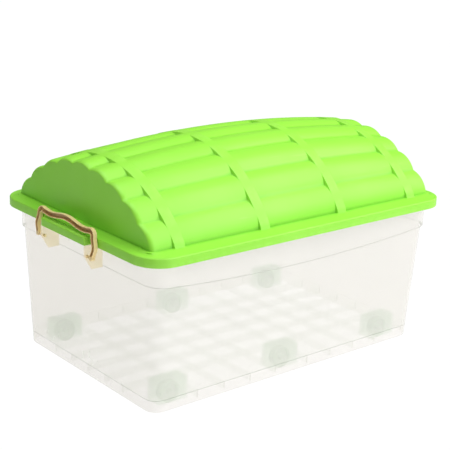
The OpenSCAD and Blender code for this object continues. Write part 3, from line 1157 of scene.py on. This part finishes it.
@dataclass
class Lid:
    """The lime lid, one moulding: rim, ledge, fluted dome with smooth bands, tabs and locating lip.

    Args:
        palette: The materials.
    """

    palette: Palette
    half_l: float = 0.350
    half_w: float = 0.236
    corner_r: float = 0.052
    skirt_z: float = 0.272
    shoulder_z: float = 0.2885
    shoulder: float = 0.0025
    ledge_rise: float = 0.004
    wall: float = 0.0025
    ledge_end: float = 0.024
    ledge_side: float = 0.031
    arch_h: float = 0.120
    crown_drop: float = 0.023
    flutes: int = 9
    flute_h: float = 0.006
    flute_steps: int = 12
    band_w: float = 0.020
    band_ramp: float = 0.003
    band_inner_x: float = 0.091
    band_outer_x: float = 0.273
    dome_round: float = 0.009
    tab_out: float = 0.013
    tab_half: float = 0.067
    tab_drop: float = 0.002
    lip_h: float = 0.012

    def __post_init__(self) -> None:
        """Works out the dome's foot."""
        self.dome_z = self.shoulder_z + self.ledge_rise
        self.dome_half_l = self.half_l - self.ledge_end
        self.dome_half_w = self.half_w - self.ledge_side

    def band_at(self, x: float) -> float:
        """Tells how far a place belongs to one of the smooth bands.

        Args:
            x: Place along the lid.

        Returns:
            1 on a band, 0 on the flutes and a soft ramp between them.
        """
        nearest = min(abs(abs(x) - middle) for middle in (self.band_inner_x, self.band_outer_x))
        off = nearest - self.band_w / 2
        share = 1 - min(max(off / self.band_ramp, 0.0), 1.0)
        return share * share * (3 - 2 * share)

    def stations(self) -> list[tuple[float, float]]:
        """Lists the dome's cross-sections, close together on ramps and rounded ends.

        Returns:
            Each one as (place along the lid, how far it is drawn in).
        """
        ramp_steps, end_steps, end_pitch, longest = 5, 7, 0.004, 0.011
        end = self.dome_half_l - self.dome_round
        ramps = [self.band_w / 2 + self.band_ramp * step / ramp_steps for step in range(ramp_steps + 1)]
        stops = {0.0, end}
        for middle in (self.band_inner_x, self.band_outer_x):
            stops |= {middle + sign * ramp for sign in (-1, 1) for ramp in ramps}
        band_end = self.band_outer_x + ramps[-1]
        near_end = [band_end + end_pitch * step for step in range(1, end_steps + 1)]
        stops |= {x for x in near_end if x < end - end_pitch / 4}
        half: list[float] = []
        for start, stop in pairwise(sorted(stops)):
            parts = max(1, math.ceil((stop - start) / longest))
            half += [start + (stop - start) * part / parts for part in range(parts)]
        right = [(x, 0.0) for x in half]
        for step in range(end_steps + 1):
            turn = math.pi / 2 * step / end_steps
            right.append((end + self.dome_round * math.sin(turn), self.dome_round * (1 - math.cos(turn))))
        return [(-x, shrink) for x, shrink in reversed(right[1:])] + right

    def section_point(self, x: float, shrink: float, fan: float, t: float) -> Vector:
        """Returns one point of a cross-section of the dome.

        Args:
            x: Place along the lid.
            shrink: How far the section is drawn in.
            fan: 0 on the outside of the dome, up to 1 at the middle of its flat end's foot.
            t: Place across the section, from -1 to 1.

        Returns:
            The point.
        """
        rise = self.arch_h - self.crown_drop * (x / self.dome_half_l) ** 2
        radius = (self.dome_half_w**2 + rise**2) / (2 * rise)
        angle = math.asin(self.dome_half_w / radius) * t
        flute = (t + 1) / 2 * self.flutes
        across = 2 * (flute - math.floor(flute)) - 1
        reach = radius + self.flute_h * max(self.band_at(x), 1 - across * across)
        scale = (radius - shrink) / radius * (1 - fan)
        height = 0.0 if abs(t) == 1 else max(reach * math.cos(angle) - (radius - rise), 0.0)
        return Vector((x, scale * reach * math.sin(angle), self.dome_z + scale * height))

    def draw_dome(self, mesh: Mesh) -> None:
        """Draws the dome and its flat ends from one grid.

        Args:
            mesh: Mesh that it goes in.
        """
        fans = (0.03, 0.06, 0.09, 0.13, 0.2, 0.32, 0.48, 0.66, 0.84, 1.0)
        middle = [(x, shrink, 0.0) for x, shrink in self.stations()]
        last_x, last_shrink, _ = middle[-1]
        ends = [(last_x, last_shrink, fan) for fan in fans]
        columns = [(-x, shrink, fan) for x, shrink, fan in reversed(ends)] + middle + ends
        rows = self.flutes * self.flute_steps

        def place(column: int, row: int) -> Vector:
            """Returns the dome's point at one column and row."""
            return self.section_point(*columns[column], 2 * row / rows - 1)

        draw_grid(mesh, len(columns) - 1, rows, place)
        bmesh.ops.remove_doubles(mesh, verts=mesh.verts, dist=WELD)

    def draw_rim(self, mesh: Mesh) -> None:
        """Draws the ledge, shoulder and skirt outwards from the dome's foot.

        Args:
            mesh: Mesh that holds the dome.
        """
        hem, foot_r, foot_reach, foot_fall = 0.0005, 0.012, 0.0065, 0.0007
        ledge_end = ((5.0, 0.0017), (2.0, 0.0007), (0.6, 0.0002))
        rim = RoundRect(self.half_l, self.half_w, self.corner_r)
        foot = RoundRect(self.dome_half_l, self.dome_half_w, foot_r)
        levels = [(foot.inset(-foot_reach), self.dome_z - foot_fall)]
        levels += [(rim.inset(self.shoulder * (1 + a)), self.shoulder_z + b) for a, b in ledge_end]
        rounding = [(self.shoulder * a, self.shoulder * b) for a, b in quarter_arc(5)]
        levels += [(rim.inset(a), self.shoulder_z - b) for a, b in rounding]
        levels += [(rim, (self.skirt_z + self.shoulder_z) / 2), (rim, self.skirt_z + hem)]
        levels.append((rim.inset(hem), self.skirt_z))
        edges = open_edges(mesh)
        for outline, z in levels:
            fresh = set(points_of(bmesh.ops.extrude_edge_only(mesh, edges=edges)["geom"]))
            for point in fresh:
                point.co = outline.nearest(point.co.x, point.co.y) + Vector((0, 0, z))
            edges = edges_among(fresh)

    def build_shell(self) -> None:
        """Builds the dome, ledge and rim as one shell."""
        mesh = bmesh.new()
        self.draw_dome(mesh)
        self.draw_rim(mesh)
        bmesh.ops.recalc_face_normals(mesh, faces=mesh.faces)
        top = max(mesh.faces, key=lambda face: face.calc_center_median().z)
        if top.normal.z < 0:
            bmesh.ops.reverse_faces(mesh, faces=mesh.faces)
        dress = Dress("lid_shell", (LIME,), Body.LID.value, Slot.LIME, ("lid",), crease=50.0, wall=self.wall)
        finish_piece(mesh, dress, self.palette, turned_right=True)

    def build_tab(self, end: End) -> None:
        """Builds the hollow tab under one handle's grip.

        Args:
            end: Which end of the trunk.
        """
        mesh = bmesh.new()
        tucked, brow_r, cheek_r, facing = 0.004, 0.003, 0.0012, 0.9
        low = Vector((self.half_l - tucked, -self.tab_half, self.skirt_z))
        high = Vector((self.half_l + self.tab_out, self.tab_half, self.shoulder_z - self.tab_drop))
        make_box(mesh, low, high)
        brow = [edge for edge in mesh.edges if all((v.co.xz - high.xz).length < WELD for v in edge.verts)]
        round_edges(mesh, brow, brow_r, segments=5)
        cheeks = [
            edge for edge in mesh.edges
            if all(abs(abs(v.co.y) - self.tab_half) < WELD and v.co.x > self.half_l for v in edge.verts)
        ]
        round_edges(mesh, cheeks, cheek_r, segments=3)
        open_faces = [face for face in mesh.faces if face.normal.z < -facing or face.normal.x < -facing]
        bmesh.ops.delete(mesh, geom=open_faces, context="FACES")
        if end is End.LEFT:
            half_turn(mesh)
        name = f"lid_{end.name.lower()}_tab"
        dress = Dress(name, (LIME,), Body.LID.value, Slot.LIME, wall=self.wall)
        finish_piece(mesh, dress, self.palette, turned_right=True)

    def build_lip(self, tub: Tub) -> None:
        """Builds the lip that drops into the tub.

        Args:
            tub: The tub that it fits.
        """
        mesh = bmesh.new()
        side_gap, short_by, soft = 0.001, 0.0003, 0.0006
        outer = tub.outline(tub.top, tub.wall + side_gap)
        inner = outer.inset(self.wall)
        low = tub.top - self.lip_h + short_by
        high = self.shoulder_z
        skin = Skin(mesh, tub.steps.marks())
        skin.rings([outer.at(high), outer.at(low + soft), outer.inset(soft).at(low)])
        skin.rings([inner.inset(-soft).at(low), inner.at(low + soft), inner.at(high)])
        skin.close()
        finish_piece(mesh, Dress("lid_locating_lip", (LIME,), Body.LID.value, Slot.LIME), self.palette)

    def build(self, tub: Tub) -> None:
        """Builds the whole lid.

        Args:
            tub: The tub that it closes.
        """
        self.build_shell()
        for end in End:
            self.build_tab(end)
        self.build_lip(tub)


# ---- Handles ----


@dataclass
class Handle:
    """One cream bail: a channel section bent round into two arms and a wavy grip, with pivot stubs.

    Args:
        palette: The materials.
        end: Which end of the trunk it is on.
    """

    palette: Palette
    end: End
    arm_half: float = 0.0835
    grip_w: float = 0.010
    grip_t: float = 0.008
    lip: float = 0.0014
    rise: float = 0.046
    wave: float = 0.003
    wave_len: float = 0.100
    bow: float = 0.005
    lean: float = 5.0
    bend_r: float = 0.009
    stub_r: float = 0.0028
    boss_r: float = 0.0038
    arm_share: float = 0.64

    def __post_init__(self) -> None:
        """Reads the pivot's place from the frame."""
        name = f"{self.end.name.lower()}_handle_swing"
        self.pivot = Vector(next(joint for joint in frame["joints"] if joint["name"] == name)["pos_m"])
        self.grip_end = self.arm_half - self.bend_r

    def grip_z(self, y: float) -> float:
        """Returns the height of the grip's middle line over the pivots."""
        return self.rise + self.wave * math.cos(2 * math.pi * y / self.wave_len)

    def half_line(self) -> list[Vector]:
        """Draws the middle line of one half.

        Returns:
            Its points, from the pivot to the middle of the grip.
        """
        arm_steps, bend_steps, grip_steps = 16, 9, 28
        top = self.grip_z(self.grip_end) - self.bend_r
        line = []
        for share in (step / arm_steps for step in range(arm_steps)):
            line.append(Vector((0, self.arm_half + self.bow * math.sin(math.pi * share) ** 2, top * share)))
        for turn in (math.pi / 2 * step / bend_steps for step in range(bend_steps + 1)):
            bend = Vector((0, math.cos(turn), math.sin(turn))) * self.bend_r
            line.append(Vector((0, self.grip_end, top)) + bend)
        for y in (self.grip_end * (1 - step / grip_steps) for step in range(1, grip_steps + 1)):
            line.append(Vector((0, y, self.grip_z(y))))
        return line

    def full_line(self) -> list[Vector]:
        """Returns the middle line of the whole bail."""
        half = self.half_line()
        return half + [Vector((0, -p.y, p.z)) for p in reversed(half[:-1])]

    def section(self) -> list[tuple[float, float]]:
        """Draws the channel's section, open to the front.

        Returns:
            Its points as (place across the line, place outwards).
        """
        back, tip = 0.0016, 0.0006
        back_mid, tip_mid = back * HALFWAY, tip * HALFWAY
        w, t = self.grip_w / 2, self.grip_t / 2
        slot, deep = w - self.lip, self.lip - t
        half = [
            (0.0, -t), (w - back, -t), (w - back_mid, -t + back_mid), (w, -t + back),
            (w, t - tip), (w - tip_mid, t - tip_mid), (w - tip, t),
            (slot + tip, t), (slot + tip_mid, t - tip_mid), (slot, t - tip),
            (slot, deep + tip), (slot - tip_mid, deep + tip_mid), (slot - tip, deep), (0.0, deep),
        ]
        return half + [(-across, out) for across, out in reversed(half[1:-1])]

    def draw_channel(self, mesh: Mesh) -> None:
        """Sweeps the channel section along the whole bail.

        Args:
            mesh: Mesh that it goes in.
        """
        line = self.full_line()
        section = self.section()
        skin = Skin(mesh, [(number, 0.0, 0.0) for number in range(len(section))])
        arm_top = self.grip_z(self.grip_end)
        for number, point in enumerate(line):
            ahead = line[min(number + 1, len(line) - 1)] - line[max(number - 1, 0)]
            side = Vector((0, ahead.z, -ahead.y)).normalized()
            share = self.arm_share + (1 - self.arm_share) * min(max(point.z / arm_top, 0), 1)
            skin.ring(self.station(section, point, side, share))
            if number == 0:
                skin.cap()
        skin.cap()

    @staticmethod
    def station(section: Profile, point: Vector, side: Vector, share: float) -> Place:
        """Returns the ring at one station of the sweep.

        Args:
            section: The channel's section.
            point: Middle of the station.
            side: Direction across the line.
            share: Share of the section's full width.

        Returns:
            The ring.
        """

        def place(mark: Mark) -> Vector:
            """Returns the ring's point for one mark, which holds the section point's number."""
            across, out = section[mark[0]]
            return point + side * across * share + Vector((out, 0, 0))

        return place

    def draw_pivots(self, mesh: Mesh) -> None:
        """Draws a boss and a stub at the foot of each arm.

        Args:
            mesh: Mesh that they go in.
        """
        stub_l, boss_soft, stub_soft = 0.0205, 0.0008, 0.0006
        upright = Matrix.Rotation(math.pi / 2, 4, "Y")
        sideways = Matrix.Rotation(math.pi / 2, 4, "X")
        for side in (-1, 1):
            foot = Matrix.Translation((0, side * self.arm_half, 0)) @ upright
            self.draw_bar(mesh, foot, self.boss_r, self.grip_t, boss_soft, sides=40)
            middle = Matrix.Translation((0, side * (self.arm_half - stub_l / 2), 0)) @ sideways
            self.draw_bar(mesh, middle, self.stub_r, stub_l, stub_soft, sides=32)

    @staticmethod
    def draw_bar(mesh: Mesh, place: Matrix, radius: float, length: float, soft: float, sides: int) -> None:
        """Draws a round bar with softened rims.

        Args:
            mesh: Mesh that it goes in.
            place: Its middle and direction.
            radius: Its radius.
            length: Its length.
            soft: Width of the rims' rounding.
            sides: How many flats its round takes.
        """
        bar = bmesh.ops.create_cone(
            mesh, cap_ends=True, segments=sides, radius1=radius, radius2=radius, depth=length, matrix=place
        )
        edges = edges_among(set(bar["verts"]))
        rim_angle = math.radians(80)
        round_edges(mesh, [edge for edge in edges if edge.calc_face_angle() > rim_angle], soft)

    def build(self) -> None:
        """Builds the handle at its place."""
        mesh = bmesh.new()
        self.draw_channel(mesh)
        self.draw_pivots(mesh)
        bmesh.ops.recalc_face_normals(mesh, faces=mesh.faces)
        line = self.full_line()
        # Painted shade: faces inside the channel wear the darker cream.
        for face in mesh.faces:
            face.material_index = SECOND if self.in_channel(face, line) else MAIN
        lean = Matrix.Rotation(math.radians(-self.lean), 3, "Y")
        bmesh.ops.rotate(mesh, verts=mesh.verts, cent=(0, 0, 0), matrix=lean)
        if self.end is End.LEFT:
            half_turn(mesh)
        bmesh.ops.translate(mesh, verts=mesh.verts, vec=self.pivot)
        name = f"{self.end.name.lower()}_bail_handle"
        body = Body[f"{self.end.name}_HANDLE"].value
        dress = Dress(name, (CREAM, SHADED_CHANNEL), body, Slot.CREAM, (body,))
        finish_piece(mesh, dress, self.palette)

    def in_channel(self, face: Face, line: Sequence[Vector]) -> bool:
        """Tells whether a face lies on the channel's floor or on the inside of one of its lips.

        Args:
            face: A face of the upright handle.
            line: The bail's middle line.

        Returns:
            True inside the channel.
        """
        hair, brim, foot, facing = 0.00001, 0.001, 0.001, 0.5
        middle = face.calc_center_median()
        half_t = self.grip_t / 2
        if not (self.lip - half_t - hair < middle.x < half_t - brim and middle.z > foot):
            return False
        nearest = min(line, key=lambda point: (point.yz - middle.yz).length)
        towards = (nearest.yz - middle.yz).dot(face.normal.yz) > 0.0
        return face.normal.x > facing or towards


# ---- Wheels ----


@dataclass
class WheelSet:
    """One wheel with its axle and its snap-in housing.

    Args:
        palette: The materials.
        place: Which wheel it is, such as front_left.
    """

    palette: Palette
    place: str
    tread_w: float = 0.016
    hub_w: float = 0.024
    edge: float = 0.0015
    groove: float = 0.0012
    housing_wall: float = 0.003
    housing_r: float = 0.0025

    def __post_init__(self) -> None:
        """Reads the wheel's middle and sizes from the frame."""
        low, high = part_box(f"{self.place}_wheel")
        self.middle = (low + high) / 2
        self.radius = (high.z - low.z) / 2
        self.axle_low, self.axle_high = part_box(f"{self.place}_axle")
        self.housing_low, self.housing_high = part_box(f"{self.place}_housing")

    def spin_profile(self, profile: Profile, closed: bool) -> Mesh:
        """Spins a profile round the axle.

        Args:
            profile: Points as (distance from the axis, place along it).
            closed: Whether the profile is a ring of its own, and not one that meets the axis.

        Returns:
            The mesh.
        """
        mesh = bmesh.new()
        points = [mesh.verts.new((self.middle.x + r, self.middle.y + y, self.middle.z)) for r, y in profile]
        pairs = list(zip(points, points[1:])) + ([(points[-1], points[0])] if closed else [])
        edges = [mesh.edges.new(pair) for pair in pairs]
        bmesh.ops.spin(
            mesh, geom=points + edges, cent=self.middle, axis=(0, 1, 0), dvec=(0, 0, 0),
            angle=2 * math.pi, steps=72, use_merge=True, use_duplicate=False,
        )
        return mesh

    def build_wheel(self) -> None:
        """Builds the wheel with its grooved tread, web and hub."""
        play, hub_wall, rim_wall, web, soft = 0.00005, 0.0035, 0.005, 0.002, 0.0005
        ridge_out, groove_out, groove_in, ridge_in = 0.45, 0.38, 0.12, 0.05
        bore = (self.axle_high.z - self.axle_low.z) / 2 + play
        hub, rim = bore + hub_wall, self.radius - rim_wall
        side, half = self.hub_w / 2, self.tread_w / 2
        r, deep, mid = self.radius, self.radius - self.groove, self.edge * HALFWAY
        upper = [
            (bore, side - soft), (bore + soft, side), (hub - soft, side), (hub, side - soft),
            (hub, web + soft), (hub + soft, web), (rim - soft, web), (rim, web + soft),
            (rim, half - soft), (rim + soft, half),
            (r - self.edge, half), (r - mid, half - mid), (r, half - self.edge),
            (r, half * ridge_out), (deep, half * groove_out), (deep, half * groove_in), (r, half * ridge_in),
        ]
        profile = upper + [(radius, -y) for radius, y in reversed(upper)]
        mesh = self.spin_profile(profile, closed=True)
        node = f"{self.place}_wheel"
        dress = Dress(f"{self.place}_roller", (WHEEL,), node, Slot.WHEEL, (node,))
        finish_piece(mesh, dress, self.palette)

    def build_axle(self) -> None:
        """Builds the axle pin with chamfered ends."""
        half = (self.axle_high.y - self.axle_low.y) / 2
        r = (self.axle_high.z - self.axle_low.z) / 2
        chamfer = 0.0005
        upper = [(r, half - chamfer), (r - chamfer, half), (0.0, half)]
        profile = [(radius, -y) for radius, y in reversed(upper)] + upper
        mesh = self.spin_profile(profile, closed=False)
        dress = Dress(f"{self.place}_pin", (STEEL,), Body.TUB.value, Slot.STEEL, (f"{self.place}_axle",))
        finish_piece(mesh, dress, self.palette)

    def build_housing(self) -> None:
        """Builds the housing, an upturned box that is open below."""
        low, high = self.housing_low, self.housing_high
        size = (high - low) / 2
        outer = RoundRect(size.x, size.y, self.housing_r, self.middle.x, self.middle.y)
        inner = outer.inset(self.housing_wall)
        thinned, soft = 0.0015, 0.0008
        ceiling = high.z - self.housing_wall + thinned
        mid = soft * HALFWAY
        mesh = bmesh.new()
        skin = Skin(mesh, Steps(corner=5, long=6, short=4).marks())
        skin.rings([inner.inset(soft).at(ceiling), inner.at(ceiling - soft), inner.at(low.z + soft / 2)])
        skin.rings([inner.inset(-soft / 2).at(low.z), outer.inset(soft / 2).at(low.z)])
        skin.rings([outer.at(low.z + soft / 2), outer.at(high.z - soft)])
        skin.rings([outer.inset(mid).at(high.z - mid), outer.inset(soft).at(high.z)])
        bmesh.ops.holes_fill(mesh, edges=open_edges(mesh), sides=0)
        node = f"{self.place}_housing"
        dress = Dress(f"{self.place}_wheel_cup", (HOUSING,), Body.TUB.value, Slot.HOUSING, (node,))
        finish_piece(mesh, dress, self.palette)

    def build(self) -> None:
        """Builds the whole set."""
        self.build_wheel()
        self.build_axle()
        self.build_housing()


# ---- Stage ----


@dataclass(frozen=True)
class Lamp:
    """A square soft lamp that looks at the trunk.

    Args:
        name: Name of the lamp.
        place: Where it hangs.
        size: Length of its side.
        power: Power in watts.
        colour: Colour of its light.
    """

    name: str
    place: tuple[float, float, float]
    size: float
    power: float
    colour: Colour = (1.0, 1.0, 1.0)

    def hang(self) -> None:
        """Hangs the lamp, turned to the middle of the trunk."""
        data = bpy.data.lights.new(self.name, "AREA")
        data.energy = self.power
        data.size = self.size
        data.color = self.colour
        lamp = bpy.data.objects.new(self.name, data)
        bpy.context.scene.collection.objects.link(lamp)
        middle = Vector((0.0, 0.0, 0.2))
        turn = (middle - Vector(self.place)).to_track_quat("-Z", "Y").to_matrix().to_4x4()
        lamp.matrix_world = Matrix.Translation(self.place) @ turn


LAMPS = (
    Lamp("key_lamp", (1.6, -1.3, 2.1), 2.6, 62.0),
    Lamp("front_lamp", (0.3, -2.8, 1.1), 3.0, 41.0),
    Lamp("top_lamp", (-0.3, 0.1, 2.3), 1.8, 29.0),
    Lamp("fill_lamp", (-2.8, 0.4, 0.7), 1.6, 2.0, (1.0, 0.93, 0.86)),
)


@dataclass
class Stage:
    """Pale floor, white surroundings, soft lamps and the camera."""

    floor_half: float = 30.0
    world_light: float = 0.19
    seen_light: float = 1.02
    pale: float = 0.9
    lens: float = 94.92
    azimuth: float = -40.124
    elevation: float = 17.294
    roll: float = 2.213
    eye: tuple[float, float, float] = (-1.3792, -1.6309, 0.8936)

    def build_floor(self) -> None:
        """Builds the floor, lit from within for the camera only and see-through from below."""
        mesh = bmesh.new()
        bmesh.ops.create_grid(mesh, x_segments=2, y_segments=2, size=self.floor_half)
        data = bpy.data.meshes.new("pale_floor")
        mesh.to_mesh(data)
        mesh.free()
        floor = bpy.data.objects.new("pale_floor", data)
        bpy.context.scene.collection.objects.link(floor)
        material, wiring, shader = start_material("pale_floor")
        link = material.node_tree.links.new
        shader["Roughness"].default_value = 0.9
        shader["Specular IOR Level"].default_value = 0.1
        shader["Emission Color"].default_value = (1.0, 1.0, 1.0, 1.0)
        seen = wiring.add("ShaderNodeLightPath").outputs["Is Camera Ray"]
        below = wiring.add("ShaderNodeNewGeometry").outputs["Backfacing"]
        link(wiring.spread(seen, UNIT, (0.0, self.seen_light)), shader["Emission Strength"])
        link(wiring.spread(seen, UNIT, (self.pale, 0.0)), shader["Base Color"])
        link(wiring.spread(below, UNIT, (1.0, 0.0)), shader["Alpha"])
        data.materials.append(material)

    def build_world(self) -> None:
        """Builds the white surroundings, seen bright but lighting softly."""
        world = bpy.data.worlds.new("white_room")
        bpy.context.scene.world = world
        world.use_nodes = True
        wiring = Wiring(world.node_tree)
        shade = world.node_tree.nodes["Background"]
        seen = wiring.add("ShaderNodeLightPath").outputs["Is Camera Ray"]
        light = wiring.spread(seen, UNIT, (self.world_light, self.seen_light))
        world.node_tree.links.new(light, shade.inputs["Strength"])
        shade.inputs["Color"].default_value = (1.0, 1.0, 1.0, 1.0)

    def build_camera(self) -> None:
        """Sets up the camera."""
        data = bpy.data.cameras.new("camera")
        data.lens = self.lens
        camera = bpy.data.objects.new("camera", data)
        bpy.context.scene.collection.objects.link(camera)
        turn = math.radians(self.azimuth)
        lift = math.radians(self.elevation)
        back = Vector((math.sin(turn) * math.cos(lift), -math.cos(turn) * math.cos(lift), math.sin(lift)))
        level = Vector((0, 0, 1)).cross(back).normalized()
        rise = back.cross(level)
        lean = math.radians(self.roll)
        right = math.cos(lean) * level + math.sin(lean) * rise
        up = math.cos(lean) * rise - math.sin(lean) * level
        axes = Matrix((right, up, back)).transposed().to_4x4()
        camera.matrix_world = Matrix.Translation(self.eye) @ axes
        bpy.context.scene.camera = camera

    def build(self) -> None:
        """Builds the whole stage."""
        scene = bpy.context.scene
        scene.view_settings.view_transform = "Standard"
        scene.cycles.transparent_max_bounces = 32
        self.build_world()
        self.build_floor()
        for lamp in LAMPS:
            lamp.hang()
        self.build_camera()


def main() -> None:
    """Builds the stage and every part of the trunk."""
    logging.basicConfig(level=logging.INFO, format="%(message)s")
    Stage().build()
    palette = Palette()
    tub = Tub(palette)
    tub.build()
    Lid(palette).build(tub)
    for end in End:
        Handle(palette, end).build()
    places = sorted(name.removesuffix("_wheel") for name in frame["nodes"] if name.endswith("_wheel"))
    for place in places:
        WheelSet(palette, place).build()


if __name__ == "__main__":
    main()
